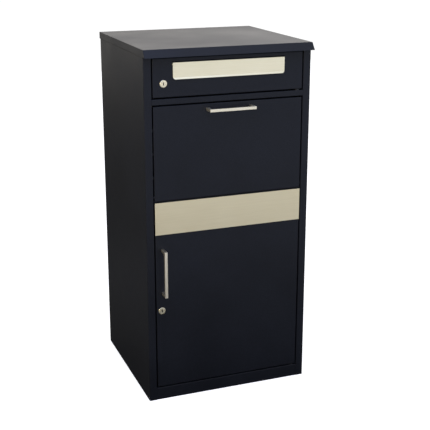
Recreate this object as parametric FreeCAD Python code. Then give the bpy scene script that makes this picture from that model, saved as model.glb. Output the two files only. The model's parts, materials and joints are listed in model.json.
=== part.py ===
import FreeCAD, Part
import math
import os

os.makedirs("parts", exist_ok=True)

# Free-standing parcel drop box in folded sheet steel. Millimetres, +Z up.
# The origin is the centre of the base, the front faces -Y.

# Overall sizes
body_width = 490.0
body_depth = 450.0
body_height = 1018.5  # top edge of the side panels, which carry the lid
sheet = 1.5

# Cabinet frame
stile_width = 22.0  # front face of each side panel
stile_lip = 15.0
fold_radius = 2.0  # outside radius of the folds that show
panel_flange = 20.0
bottom_rail_height = 37.0
bottom_rail_setback = 0.8
cross_rail_height = 16.0
top_rail_height = 19.0
stop_lip_height = 20.0
bumper_thickness = 2.0
bumper_radius = 4.5
bumper_share = 0.12  # bumpers sit this share of the width in from each side
base_flange = 30.0
back_panel_top_gap = 1.0
tongue_setback = 3.0
baffle_foot = 12.0
weld_gap = 0.3  # between folded pieces that are only welded at spots

# Fronts and the gaps round them
front_gap = 3.5
level_gap = 4.0
parcel_flap_height = 264.0
front_depth = 20.0  # depth of a folded door or flap
front_return = 10.0

# Door hinges: vertical pins near the right edge
hinge_inset = 12.0
hinge_setback = 8.0
hinge_pin_radius = 3.0
hinge_pin_reach = 9.0
hinge_relief = 16.0
running_clearance = 0.05
washer_gap = 0.2
washer_rim = 3.5
pin_head_rim = 2.0
pin_head_height = 2.0

# Parcel flap and its hopper
flap_pivot_height = 12.0
flap_pivot_setback = 4.5
flap_pin_radius = 2.5
flap_pin_reach = 3.0  # past the inner face of the sector plate
flap_washer_thickness = 1.0
flap_stiffener_gap = 1.0
tongue_clearance = 1.0
hopper_top_margin = 20.0  # the sector plates end this far below the flap's upper edge
tray_end_margin = 22.0
tray_slope = 25.0
tray_flange = 12.0
tray_flange_start = 10.0
tray_hem = 8.0
flap_opening = 42.0
stop_edge_margin = 12.0
stop_angle = -22.0
stop_stud_radius = 5.0
stop_stud_reach = 12.0
stop_clearance = 0.3
stop_bracket_gap = 2.0
stop_bracket_half = 14.0
stop_foot_length = 35.0
buffer_thickness = 6.0
buffer_half = 9.0
buffer_margin = 3.0
baffle_clearance = 9.5
baffle_rise = 56.5  # lower edge of the baffle above the flap's pivot

# Lid
lid_clearance = 0.2
lid_flange = 18.5
lid_overhang = 5.5
lid_lip_reach = 16.2
lid_lip_drop = 20.5
lid_lip_return = 10.0
lid_fold_radius = 1.4
lid_cheek_reach = 1.0  # the side flanges pass the front face by this much
lid_stud_radius = 2.5
lid_stud_clearance = 0.5
lid_stud_length = 10.0
lid_stud_spacing = 150.0
lid_nut_height = 5.0
lid_nut_half_flats = 4.0
lid_nut_flange_radius = 5.5
lid_nut_flange = 1.0

# Letter flap in the letter door
letter_flap_width = 326.0
letter_flap_height = 45.0
letter_flap_rise = 47.5  # lower edge of the flap above the lower edge of the door
letter_flap_margin = 13.0  # upper edge of the flap below the upper edge of the door
letter_flap_sheet = 1.2
letter_flap_standoff = 1.0
letter_flap_corner = 8.0
letter_flap_lip = 5.0  # the lower edge bends forward by this length, for a fingertip
letter_flap_lip_angle = 25.0
letter_slot_width = 300.0
letter_slot_sill = 6.0
hinge_window_margin = 1.5  # the skin is open round the flap's upper edge
hinge_window_gap = 3.2
letter_rod_radius = 2.0
letter_rod_drop = 5.0
letter_rod_setback = 5.0
knuckle_wall = 1.2
knuckle_end_gap = 0.5
ear_half = 6.0
ear_reach = 5.0
rod_overhang = 2.0

# Locks
lock_head_radius = 10.2
lock_head_height = 2.5
lock_head_round = 1.2
lock_barrel_radius = 8.6
lock_hole_clearance = 0.2
lock_ring_margin = 3.0
lock_plug_radius = 6.0
lock_plug_proud = 0.3
key_slot_width = 2.6
key_slot_height = 8.4
key_slot_depth = 12.0
lock_nut_radius = 13.0
lock_nut_thickness = 4.0
lock_spigot = 6.0
cam_thickness = 2.0
cam_width = 16.0
cam_engagement = 12.0
cam_corner = 3.0
cam_clearance = 0.3
cam_screw_radius = 1.8
cam_screw_depth = 5.0
cam_bore_depth = 6.0
cam_screw_head_radius = 5.0
cam_screw_head_height = 2.5
letter_lock_inset = 29.5
letter_lock_rise = 37.5
door_lock_inset = 15.5
door_lock_drop = 117.0  # below the middle of the door's handle

# Handles: square bar with mitred, welded corners
handle_centres = 128.0
handle_width = 8.0
handle_projection = 32.0
handle_edge = 0.8
handle_screw_radius = 2.0
handle_screw_depth = 9.0
handle_bore_depth = 10.0
handle_screw_head_radius = 4.0
handle_screw_head_height = 2.5
parcel_handle_drop = 15.0
door_handle_inset = 20.5
door_handle_drop = 42.0  # upper end of the handle below the strip

# Bright strip on the collection door
strip_height = 93.0
strip_thickness = 1.2
strip_stud_radius = 1.5
strip_stud_length = 8.0
strip_stud_spacing = 120.0
strip_nut_half_flats = 2.75
strip_nut_height = 2.4
stiffener_width = 63.0
stiffener_foot = 12.0
stiffener_bottom_gap = 5.0
stiffener_top_gap = 20.0

# Fixing holes and rivets
anchor_spacing_x = 340.0
anchor_spacing_y = 300.0
anchor_hole_radius = 5.5
wall_spacing_x = 300.0
wall_hole_radius = 4.5
wall_hole_rise = 300.0
wall_hole_drop = 78.5
rivet_radius = 2.4
rivet_head_radius = 4.5
rivet_head_height = 1.2
rivet_head_round = 0.7
rivet_tail_radius = 3.4
rivet_tail_height = 1.5
back_rivet_levels = (0.06, 0.28, 0.5, 0.72, 0.94)
flap_rivet_levels = (0.25, 0.5, 0.75)
tray_rivet_places = (0.2, 0.5, 0.8)
baffle_rivet_place = 0.6

# Places worked out from the sizes above
half_width = body_width / 2
inner_half = half_width - sheet
front = -body_depth / 2
back = body_depth / 2
skin_back = front + sheet
opening_half = half_width - stile_width
door_half = opening_half - front_gap
front_rear = front + front_depth
stile_depth = front_depth
stop_plane = front_rear + bumper_thickness
stop_rear = stop_plane + sheet
cam_front = front_rear + cam_clearance
cam_back = cam_front + cam_thickness

door_bottom = bottom_rail_height + level_gap
letter_top = body_height - top_rail_height - level_gap
letter_bottom = letter_top - letter_flap_margin - letter_flap_height - letter_flap_rise
cross_top = letter_bottom - level_gap
cross_bottom = cross_top - cross_rail_height
flap_top = cross_bottom - level_gap
flap_bottom = flap_top - parcel_flap_height
door_top = flap_bottom - level_gap

hinge_x = door_half - hinge_inset
hinge_y = front + hinge_setback
lip_end = hinge_x - hinge_relief
bumper_xs = (-door_half + bumper_share * body_width, lip_end - bumper_share * body_width)
pivot_y = front + flap_pivot_setback
pivot_z = flap_bottom + flap_pivot_height
tongue_bottom = door_top + tongue_clearance
tongue_top = tongue_bottom + sheet
hopper_radius = parcel_flap_height - flap_pivot_height - hopper_top_margin
tray_length = hopper_radius - tray_end_margin
stop_radius = hopper_radius - stop_edge_margin
hopper_outer = door_half - sheet
hopper_inner = hopper_outer - sheet
slope = math.radians(tray_slope)
baffle_y = pivot_y + hopper_radius + baffle_clearance

letter_flap_bottom = letter_bottom + letter_flap_rise
letter_flap_top = letter_flap_bottom + letter_flap_height
rod_z = letter_flap_top - letter_rod_drop
rod_y = front + letter_rod_setback
slot_half = letter_slot_width / 2
slot_bottom = letter_flap_bottom + letter_slot_sill
window_half = letter_flap_width / 2 + hinge_window_margin
window_bottom = rod_z - letter_rod_setback - letter_flap_standoff - hinge_window_margin
window_top = letter_flap_top + hinge_window_gap

letter_lock_x = -door_half + letter_lock_inset
letter_lock_z = letter_bottom + letter_lock_rise
door_lock_x = -door_half + door_lock_inset
door_handle_x = -door_half + door_handle_inset
door_handle_z = door_top - strip_height - door_handle_drop - handle_width / 2 - handle_centres / 2
door_lock_z = door_handle_z - door_lock_drop
parcel_handle_z = flap_top - parcel_handle_drop
strip_middle = door_top - strip_height / 2
strip_stud_xs = [(i - 1.5) * strip_stud_spacing for i in range(4)]

lid_studs = [
    (side * (half_width - panel_flange / 2), i * lid_stud_spacing)
    for side in (-1, 1)
    for i in (-1, 0, 1)
]
back_rivets = [
    (side * (half_width - panel_flange / 2), body_height * part)
    for side in (-1, 1)
    for part in back_rivet_levels
]
baffle_rivet_xs = [side * baffle_rivet_place * half_width for side in (-1, 0, 1)]
flap_rivet_y = front + 0.6 * front_depth
flap_rivet_zs = [flap_bottom + parcel_flap_height * part for part in flap_rivet_levels]
tray_rivet_steps = [tray_length * part for part in tray_rivet_places]


def vec(x, y, z):
    return FreeCAD.Vector(x, y, z)


def block(x0, x1, y0, y1, z0, z1):
    return Part.makeBox(x1 - x0, y1 - y0, z1 - z0, vec(x0, y0, z0))


def rod_along_x(y, z, radius, x0, x1):
    return Part.makeCylinder(radius, x1 - x0, vec(x0, y, z), vec(1, 0, 0))


def rod_along_y(x, z, radius, y0, y1):
    return Part.makeCylinder(radius, y1 - y0, vec(x, y0, z), vec(0, 1, 0))


def rod_along_z(x, y, radius, z0, z1):
    return Part.makeCylinder(radius, z1 - z0, vec(x, y, z0), vec(0, 0, 1))


def profile_along_x(points, x0, x1):
    """A closed outline of (y, z) points, extruded from x0 to x1."""
    corners = [vec(x0, y, z) for y, z in points]
    face = Part.Face(Part.makePolygon(corners + corners[:1]))
    return face.extrude(vec(x1 - x0, 0, 0))


def join(pieces):
    return pieces[0].multiFuse(pieces[1:]).removeSplitter()


def soften(shape, radius, wanted):
    """Rounds the edges whose middle point passes the test."""
    edges = [edge for edge in shape.Edges if wanted(edge.CenterOfMass)]
    return shape.makeFillet(radius, edges)


def mirrored(shape):
    return shape.mirror(vec(0, 0, 0), vec(1, 0, 0))


def near(a, b):
    return abs(a - b) < 0.01


def save(name, *solids):
    shape = solids[0] if len(solids) == 1 else Part.makeCompound(list(solids))
    shape.exportStep("parts/" + name + ".step")


def about_pivot(radius, degrees):
    """(y, z) of a point at this radius from the parcel flap's pivot."""
    angle = math.radians(degrees)
    return pivot_y + radius * math.cos(angle), pivot_z + radius * math.sin(angle)


def on_tray(distance, height):
    """(y, z) of a point on the sloping tray, from its fold, above its underside."""
    y = stop_plane + distance * math.cos(slope) + height * math.sin(slope)
    z = flap_bottom + sheet - distance * math.sin(slope) + height * math.cos(slope)
    return y, z


def rivet(start, outward, grip):
    """A blind rivet whose head lies at start and points outward, through grip."""
    head = Part.makeCylinder(rivet_head_radius, rivet_head_height, start, outward)
    head = head.makeFillet(rivet_head_round, [max(head.Edges, key=lambda e: e.CenterOfMass.dot(outward))])
    shank = Part.makeCylinder(rivet_radius, grip, start, outward * -1)
    tail = Part.makeCylinder(rivet_tail_radius, rivet_tail_height, start - outward * grip, outward * -1)
    return join([head, shank, tail])


def hex_prism(base, axis, half_flats, height):
    corner = half_flats / math.cos(math.radians(30))
    side = vec(1, 0, 0)
    other = axis.cross(side)
    points = []
    for i in range(7):
        angle = math.radians(60 * i)
        points.append(base + side * (corner * math.cos(angle)) + other * (corner * math.sin(angle)))
    return Part.Face(Part.makePolygon(points)).extrude(axis * height)


# ---------------------------------------------------------------- cabinet

def side_panel():
    """Left side wall with the folded stile in front and flanges behind and on top."""
    wall = block(-half_width, -inner_half, front, back, 0, body_height)
    face = block(-half_width, -opening_half, front, skin_back, 0, body_height)
    cheek = block(-opening_half - sheet, -opening_half, front, front + stile_depth, 0, body_height)
    lip = block(-opening_half - stile_lip, -opening_half, front + stile_depth - sheet,
                front + stile_depth, 0, body_height)
    rear = block(-half_width, -half_width + panel_flange, back - sheet, back, 0, body_height)
    top = block(-half_width, -half_width + panel_flange, stop_rear, back - 2 * sheet - weld_gap,
                body_height - sheet, body_height)
    panel = join([wall, face, cheek, lip, rear, top])
    panel = soften(panel, fold_radius, lambda c: near(abs(c.y), back) and near(c.x, -half_width))
    panel = soften(panel, sheet, lambda c: near(c.y, front) and near(c.x, -opening_half))
    panel = panel.cut(rod_along_x(pivot_y, pivot_z, flap_pin_radius, -opening_half - sheet, -opening_half))
    for x, y in lid_studs:
        if x < 0:
            hole = lid_stud_radius + lid_stud_clearance
            panel = panel.cut(rod_along_z(x, y, hole, body_height - sheet, body_height))
    for x, z in back_rivets:
        if x < 0:
            panel = panel.cut(rod_along_y(x, z, rivet_radius, back - sheet, back))
    return panel


def back_panel():
    panel = block(-inner_half, inner_half, back - 2 * sheet, back - sheet, 0,
                  body_height - back_panel_top_gap)
    for x, z in back_rivets:
        panel = panel.cut(rod_along_y(x, z, rivet_radius, back - 2 * sheet, back - sheet))
    for side in (-1, 1):
        for level in (wall_hole_rise, body_height - wall_hole_drop):
            panel = panel.cut(rod_along_y(side * wall_spacing_x / 2, level, wall_hole_radius,
                                          back - 2 * sheet, back - sheet))
    return panel


def base_pan():
    """Floor plate, front rail with its sill and stop lip, and three welding flanges."""
    half = opening_half - weld_gap
    rail_front = front + bottom_rail_setback
    rear = back - 2 * sheet
    floor = block(-inner_half, inner_half, stop_rear, rear, 0, sheet)
    nose = block(-half, half, rail_front, stop_rear, 0, sheet)
    rail = block(-half, half, rail_front, rail_front + sheet, 0, bottom_rail_height)
    sill = block(-half, half, rail_front, stop_rear, bottom_rail_height - sheet, bottom_rail_height)
    lip = block(-half, lip_end, stop_plane, stop_rear, bottom_rail_height - sheet,
                bottom_rail_height + stop_lip_height)
    left = block(-inner_half, -inner_half + sheet, stop_rear, rear, 0, base_flange)
    right = block(inner_half - sheet, inner_half, stop_rear, rear, 0, base_flange)
    behind = block(-inner_half, inner_half, rear - sheet, rear, 0, base_flange)
    pan = join([floor, nose, rail, sill, lip, left, right, behind])
    pan = soften(pan, sheet, lambda c: near(c.y, rail_front) and near(c.z, bottom_rail_height))
    pan = pan.cut(rod_along_z(hinge_x, hinge_y, hinge_pin_radius, bottom_rail_height - sheet,
                              bottom_rail_height))
    for x in (-anchor_spacing_x / 2, anchor_spacing_x / 2):
        for y in (-anchor_spacing_y / 2, anchor_spacing_y / 2):
            pan = pan.cut(rod_along_z(x, y, anchor_hole_radius, 0, sheet))
    return pan


def mid_rail():
    """Thin divider in the gap between the parcel flap and the collection door."""
    tongue = block(-opening_half, opening_half, front + tongue_setback, stop_rear, tongue_bottom, tongue_top)
    lip = block(-opening_half, lip_end, stop_plane, stop_rear, door_top - stop_lip_height, tongue_top)
    rail = join([tongue, lip])
    return rail.cut(rod_along_z(hinge_x, hinge_y, hinge_pin_radius, tongue_bottom, tongue_top))


def cross_rail():
    """Channel between the letter door and the parcel flap, with a stop lip for each."""
    web = block(-opening_half, opening_half, front, skin_back, cross_bottom, cross_top)
    upper = block(-opening_half, opening_half, front, stop_rear, cross_top - sheet, cross_top)
    lower = block(-opening_half, opening_half, front, stop_rear, cross_bottom, cross_bottom + sheet)
    up_lip = block(-opening_half, lip_end, stop_plane, stop_rear, cross_top - sheet,
                   cross_top + stop_lip_height)
    down_lip = block(-opening_half, opening_half, stop_plane, stop_rear,
                     cross_bottom - stop_lip_height, cross_bottom + sheet)
    rail = join([web, upper, lower, up_lip, down_lip])
    rail = soften(rail, sheet, lambda c: near(c.y, front) and near(c.x, 0))
    return rail.cut(rod_along_z(hinge_x, hinge_y, hinge_pin_radius, cross_top - sheet, cross_top))


def top_rail():
    bottom = body_height - top_rail_height
    web = block(-opening_half, opening_half, front, skin_back, bottom, body_height)
    upper = block(-opening_half, opening_half, front, stop_rear, body_height - sheet, body_height)
    lower = block(-opening_half, opening_half, front, stop_rear, bottom, bottom + sheet)
    lip = block(-opening_half, lip_end, stop_plane, stop_rear, bottom - stop_lip_height, bottom + sheet)
    rail = join([web, upper, lower, lip])
    return rail.cut(rod_along_z(hinge_x, hinge_y, hinge_pin_radius, bottom, bottom + sheet))


def lid():
    """Folded lid with flanges over the side and back panels and a sloping front lip."""
    outer_half = half_width + lid_clearance + sheet
    rear = back + lid_clearance + sheet
    top = body_height + sheet
    edge_y = front - lid_overhang
    tip_y = edge_y - lid_lip_reach
    tip_z = top - lid_lip_drop
    flange_bottom = body_height - lid_flange
    lean = math.atan2(lid_lip_drop, lid_lip_reach)
    corner = sheet * math.tan(lean / 2)
    inner_tip = (tip_y + sheet / math.sin(lean) + sheet / math.tan(lean), tip_z + sheet)
    outline = [
        (rear, top), (edge_y, top), (tip_y, tip_z), (tip_y + lid_lip_return, tip_z),
        (tip_y + lid_lip_return, tip_z + sheet), inner_tip, (edge_y + corner, body_height),
        (rear, body_height),
    ]
    skin = profile_along_x(outline, -outer_half, outer_half)
    behind = block(-outer_half, outer_half, rear - sheet, rear, flange_bottom, top)
    cheek_y = front - lid_cheek_reach
    cheek = [(edge_y, top), (tip_y, tip_z), (cheek_y, tip_z), (cheek_y, flange_bottom),
             (rear, flange_bottom), (rear, top)]
    left = profile_along_x(cheek, -outer_half, -outer_half + sheet)
    right = profile_along_x(cheek, outer_half - sheet, outer_half)
    cover = join([skin, behind, left, right])

    def outer_fold(c):
        on_top = near(c.z, top) and (near(abs(c.x), outer_half) or near(c.y, rear) or near(c.y, edge_y))
        on_lip = near(abs(c.x), outer_half) and tip_y < c.y < edge_y and tip_z < c.z < top
        return on_top or on_lip

    cover = soften(cover, lid_fold_radius, outer_fold)
    studs = [rod_along_z(x, y, lid_stud_radius, body_height - lid_stud_length, body_height)
             for x, y in lid_studs]
    return join([cover] + studs)


def lid_nuts():
    top = body_height - sheet
    bottom = top - lid_nut_height
    nuts = []
    for x, y in lid_studs:
        flange = rod_along_z(x, y, lid_nut_flange_radius, top - lid_nut_flange, top)
        hexagon = hex_prism(vec(x, y, bottom), vec(0, 0, 1), lid_nut_half_flats,
                            lid_nut_height - lid_nut_flange)
        nuts.append(join([flange, hexagon]).cut(rod_along_z(x, y, lid_stud_radius, bottom, top)))
    return nuts


def letter_shelf():
    """Floor of the letter compartment, with upturned edges against three walls."""
    rear = back - 2 * sheet
    bottom = cross_top - sheet
    plate = block(-inner_half, inner_half, stop_rear, rear, bottom, cross_top)
    left = block(-inner_half, -inner_half + sheet, stop_rear, rear, bottom, cross_top + panel_flange)
    right = block(inner_half - sheet, inner_half, stop_rear, rear, bottom, cross_top + panel_flange)
    behind = block(-inner_half, inner_half, rear - sheet, rear, bottom, cross_top + panel_flange)
    shelf = join([plate, left, right, behind])
    for x in baffle_rivet_xs:
        shelf = shelf.cut(rod_along_z(x, baffle_y + panel_flange / 2, rivet_radius, bottom, cross_top))
    return shelf


def anti_fishing_baffle():
    """Fixed plate that closes the space behind the hopper."""
    top = cross_top - sheet
    bottom = pivot_z + baffle_rise
    plate = block(-inner_half, inner_half, baffle_y, baffle_y + sheet, bottom, top)
    head = block(-inner_half, inner_half, baffle_y, baffle_y + panel_flange, top - sheet, top)
    foot = block(-inner_half, inner_half, baffle_y, baffle_y + baffle_foot, bottom, bottom + sheet)
    left = block(-inner_half, -inner_half + sheet, baffle_y, baffle_y + panel_flange, bottom, top)
    right = block(inner_half - sheet, inner_half, baffle_y, baffle_y + panel_flange, bottom, top)
    baffle = join([plate, head, foot, left, right])
    for x in baffle_rivet_xs:
        baffle = baffle.cut(rod_along_z(x, baffle_y + panel_flange / 2, rivet_radius, top - sheet, top))
    return baffle


def baffle_rivets():
    y = baffle_y + panel_flange / 2
    return [rivet(vec(x, y, cross_top), vec(0, 0, 1), 2 * sheet) for x in baffle_rivet_xs]


def back_panel_rivets():
    return [rivet(vec(x, back, z), vec(0, 1, 0), 2 * sheet) for x, z in back_rivets]


def door_pins(bottom_face, bottom_flange, top_face, top_flange, top_head):
    """Lower pin with its head under the rail, upper pin fixed in the rail above."""
    head_radius = hinge_pin_radius + pin_head_rim
    under = bottom_face - sheet
    over = top_face + sheet
    low_shank = rod_along_z(hinge_x, hinge_y, hinge_pin_radius, under, bottom_flange + hinge_pin_reach)
    low_head = rod_along_z(hinge_x, hinge_y, head_radius, under - pin_head_height, under)
    high = rod_along_z(hinge_x, hinge_y, hinge_pin_radius, top_flange - hinge_pin_reach, over)
    if top_head:
        head = rod_along_z(hinge_x, hinge_y, head_radius, over, over + pin_head_height)
        high = join([high, head])
    return [join([low_shank, low_head]), high]


def door_washer(bottom_face, bottom_flange):
    """Nylon washer on the lower pin, which carries the door."""
    top = bottom_flange - washer_gap
    disc = rod_along_z(hinge_x, hinge_y, hinge_pin_radius + washer_rim, bottom_face, top)
    return disc.cut(rod_along_z(hinge_x, hinge_y, hinge_pin_radius, bottom_face, top))


def flap_pins():
    """Pins that the parcel flap tilts on, headed behind the stile."""
    inner = hopper_inner - flap_pin_reach
    outer = opening_half + sheet
    head_radius = flap_pin_radius + pin_head_rim
    shank = rod_along_x(pivot_y, pivot_z, flap_pin_radius, inner, outer)
    head = rod_along_x(pivot_y, pivot_z, head_radius, outer, outer + pin_head_height)
    flat = block(outer, half_width, front, skin_back + weld_gap, pivot_z - head_radius, pivot_z + head_radius)
    pin = join([shank, head.cut(flat)])
    return [mirrored(pin), pin]


def hopper_stop_frame(side):
    """A maker of blocks beside the stop: along the radius from the pivot, and across it."""
    def piece(x0, x1, along0, along1, across0, across1):
        solid = block(x0, x1, along0, along1, across0, across1)
        solid.translate(vec(0, pivot_y, pivot_z))
        solid.rotate(vec(0, pivot_y, pivot_z), vec(1, 0, 0), stop_angle + flap_opening)
        return solid if side > 0 else mirrored(solid)
    return piece


def hopper_stops():
    """Angle brackets on the side walls, where the hopper's studs come to rest."""
    start = stop_stud_radius + stop_clearance + buffer_thickness
    brackets = []
    for side in (-1, 1):
        piece = hopper_stop_frame(side)
        near_end = stop_radius - stop_bracket_half
        far_end = stop_radius + stop_bracket_half
        arm = piece(hopper_outer + stop_bracket_gap, inner_half, near_end, far_end, start, start + 2 * sheet)
        foot = piece(inner_half - sheet, inner_half, near_end, far_end, start, start + stop_foot_length)
        brackets.append(join([arm, foot]))
    return brackets


def hopper_stop_buffers():
    start = stop_stud_radius + stop_clearance
    buffers = []
    for side in (-1, 1):
        piece = hopper_stop_frame(side)
        buffers.append(piece(hopper_outer + buffer_margin, inner_half - buffer_margin,
                             stop_radius - buffer_half, stop_radius + buffer_half,
                             start, start + buffer_thickness))
    return buffers


def door_bumpers():
    """Rubber buttons on the stop lips, a hair in front of the closed fronts."""
    middle = stop_lip_height / 2
    levels = (bottom_rail_height + middle, door_top - middle, cross_bottom - middle, cross_top + middle,
              body_height - top_rail_height - middle)
    return [rod_along_y(x, z, bumper_radius, front_rear + washer_gap, stop_plane)
            for z in levels for x in bumper_xs]


# ---------------------------------------------------------------- folded fronts

def folded_front(bottom, top):
    """Shallow pan, open behind, with rounded front edges."""
    pan = block(-door_half, door_half, front, front_rear, bottom, top)
    pan = soften(pan, fold_radius, lambda c: near(c.y, front))
    inside = block(-door_half + sheet, door_half - sheet, skin_back, front_rear, bottom + sheet, top - sheet)
    return pan.cut(inside)


def front_ring(bottom, top):
    """Inward return of a door's four edges."""
    outer = block(-door_half, door_half, front_rear - sheet, front_rear, bottom, top)
    gap = sheet + front_return
    return outer.cut(block(-door_half + gap, door_half - gap, front_rear - sheet, front_rear,
                           bottom + gap, top - gap))


def hinged_door(bottom, top, lock_x, lock_z):
    door = join([folded_front(bottom, top), front_ring(bottom, top)])
    hole = hinge_pin_radius + running_clearance
    door = door.cut(rod_along_z(hinge_x, hinge_y, hole, bottom, bottom + sheet))
    door = door.cut(rod_along_z(hinge_x, hinge_y, hole, top - sheet, top))
    door = door.cut(rod_along_y(lock_x, lock_z, lock_barrel_radius + lock_hole_clearance, front, skin_back))
    return door.cut(rod_along_y(lock_x, lock_z, lock_barrel_radius + lock_ring_margin,
                                skin_back + sheet, front_rear))


def letter_door():
    """Door of the letter compartment, with the slot and the ears of the flap's rod."""
    door = hinged_door(letter_bottom, letter_top, letter_lock_x, letter_lock_z)
    door = door.cut(block(-slot_half, slot_half, front, skin_back, slot_bottom, window_bottom))
    door = door.cut(block(-window_half, window_half, front, skin_back, window_bottom, window_top))
    ears = []
    for side in (-1, 1):
        inner, outer = sorted((side * window_half, side * (window_half + sheet)))
        ears.append(block(inner, outer, front + sheet / 2, rod_y + ear_reach,
                          rod_z - ear_half, rod_z + ear_half))
    door = join([door] + ears)
    return door.cut(rod_along_x(rod_y, rod_z, letter_rod_radius, -window_half - sheet, window_half + sheet))


def letter_flap_rod():
    half = window_half + sheet + rod_overhang
    return rod_along_x(rod_y, rod_z, letter_rod_radius, -half, half)


def letter_flap():
    """Bright plate in front of the slot, on knuckles that turn on the rod."""
    half = letter_flap_width / 2
    inner = front - letter_flap_standoff
    outer = inner - letter_flap_sheet
    lean = math.radians(letter_flap_lip_angle)
    fold_z = letter_flap_bottom + letter_flap_lip * math.cos(lean)
    out_y = letter_flap_lip * math.sin(lean)
    step = letter_flap_sheet * math.tan(lean / 2)
    plate = profile_along_x([
        (inner, letter_flap_top), (outer, letter_flap_top), (outer, fold_z + step),
        (outer - out_y, letter_flap_bottom + step), (inner - out_y, letter_flap_bottom), (inner, fold_z),
    ], -half, half)
    outline = block(-half, half, outer - out_y - letter_flap_sheet, inner, letter_flap_bottom, letter_flap_top)
    outline = soften(outline, letter_flap_corner,
                     lambda c: near(abs(c.x), half) and near(c.z, letter_flap_bottom))
    plate = plate.common(outline)
    knuckle_radius = letter_rod_radius + running_clearance + knuckle_wall
    end = window_half - knuckle_end_gap
    leg = block(-end, end, inner, rod_y, rod_z - letter_flap_sheet / 2, rod_z + letter_flap_sheet / 2)
    knuckle = rod_along_x(rod_y, rod_z, knuckle_radius, -end, end)
    flap = join([plate, leg, knuckle])
    return flap.cut(rod_along_x(rod_y, rod_z, letter_rod_radius + running_clearance, -end, end))


def parcel_flap():
    """Front of the hopper: skin, side and bottom flanges, and a stiffened top edge."""
    flap = folded_front(flap_bottom, flap_top)
    half = hopper_inner - flap_stiffener_gap
    stiffener = block(-half, half, front_rear - sheet, front_rear, flap_top - sheet - front_return, flap_top)
    flap = join([flap, stiffener])
    hole = flap_pin_radius + running_clearance
    flap = flap.cut(rod_along_x(pivot_y, pivot_z, hole, -door_half, door_half))
    for z in flap_rivet_zs:
        flap = flap.cut(rod_along_x(flap_rivet_y, z, rivet_radius, -door_half, door_half))
    for side in (-1, 1):
        flap = flap.cut(rod_along_y(side * handle_centres / 2, parcel_handle_z, handle_screw_radius,
                                    front, skin_back))
    return flap


def hopper_side():
    """Right-hand sector plate between the flap and the tray."""
    disc = rod_along_x(pivot_y, pivot_z, hopper_radius, hopper_inner, hopper_outer)
    far = on_tray(2 * hopper_radius, 0)
    high = pivot_z + 2 * hopper_radius
    wedge = profile_along_x([
        (skin_back, flap_bottom + sheet), on_tray(0, 0), far, (far[0], high), (skin_back, high),
    ], hopper_inner, hopper_outer)
    plate = disc.common(wedge)
    plate = plate.cut(rod_along_x(pivot_y, pivot_z, flap_pin_radius + running_clearance,
                                  hopper_inner, hopper_outer))
    for z in flap_rivet_zs:
        plate = plate.cut(rod_along_x(flap_rivet_y, z, rivet_radius, hopper_inner, hopper_outer))
    for step in tray_rivet_steps:
        y, z = on_tray(step, tray_flange / 2 + sheet)
        plate = plate.cut(rod_along_x(y, z, rivet_radius, hopper_inner, hopper_outer))
    y, z = about_pivot(stop_radius, stop_angle)
    return plate.cut(rod_along_x(y, z, stop_stud_radius / 2, hopper_inner, hopper_outer))


def hopper_tray():
    """Sloping floor of the hopper, with flanges against the sector plates."""
    foot = profile_along_x([
        (skin_back, flap_bottom + sheet), on_tray(0, 0), on_tray(0, sheet),
        (skin_back, flap_bottom + 2 * sheet),
    ], -hopper_inner, hopper_inner)
    plate = profile_along_x([
        on_tray(0, 0), on_tray(tray_length, 0), on_tray(tray_length, sheet), on_tray(0, sheet),
    ], -hopper_inner, hopper_inner)
    hem = profile_along_x([
        on_tray(tray_length - sheet, 0), on_tray(tray_length - sheet, -tray_hem),
        on_tray(tray_length, -tray_hem), on_tray(tray_length, 0),
    ], -hopper_inner, hopper_inner)
    edge = [on_tray(tray_flange_start, 0), on_tray(tray_length, 0), on_tray(tray_length, sheet + tray_flange),
            on_tray(tray_flange_start, sheet + tray_flange)]
    left = profile_along_x(edge, -hopper_inner, -hopper_inner + sheet)
    right = profile_along_x(edge, hopper_inner - sheet, hopper_inner)
    tray = join([foot, plate, hem, left, right])
    for step in tray_rivet_steps:
        y, z = on_tray(step, tray_flange / 2 + sheet)
        tray = tray.cut(rod_along_x(y, z, rivet_radius, -hopper_inner, hopper_inner))
    return tray


def hopper_rivets():
    rivets = []
    for side in (-1, 1):
        for z in flap_rivet_zs:
            rivets.append(rivet(vec(side * door_half, flap_rivet_y, z), vec(side, 0, 0), 2 * sheet))
        for step in tray_rivet_steps:
            y, z = on_tray(step, tray_flange / 2 + sheet)
            rivets.append(rivet(vec(side * (hopper_inner - sheet), y, z), vec(-side, 0, 0), 2 * sheet))
    return rivets


def hopper_stop_studs():
    y, z = about_pivot(stop_radius, stop_angle)
    head = rod_along_x(y, z, stop_stud_radius, hopper_outer, hopper_outer + stop_stud_reach)
    shank = rod_along_x(y, z, stop_stud_radius / 2, hopper_inner, hopper_outer)
    stud = join([head, shank])
    return [mirrored(stud), stud]


def flap_washers():
    """Thin nylon washers between the flap and the stiles."""
    outer = door_half + flap_washer_thickness
    disc = rod_along_x(pivot_y, pivot_z, flap_pivot_setback - washer_gap, door_half, outer)
    washer = disc.cut(rod_along_x(pivot_y, pivot_z, flap_pin_radius + running_clearance, door_half, outer))
    return [mirrored(washer), washer]


def collection_door():
    door = hinged_door(door_bottom, door_top, door_lock_x, door_lock_z)
    for side in (-1, 1):
        door = door.cut(rod_along_y(door_handle_x, door_handle_z + side * handle_centres / 2,
                                    handle_screw_radius, front, skin_back))
    for x in strip_stud_xs:
        door = door.cut(rod_along_y(x, strip_middle, strip_stud_radius, front, skin_back))
    return door


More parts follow.
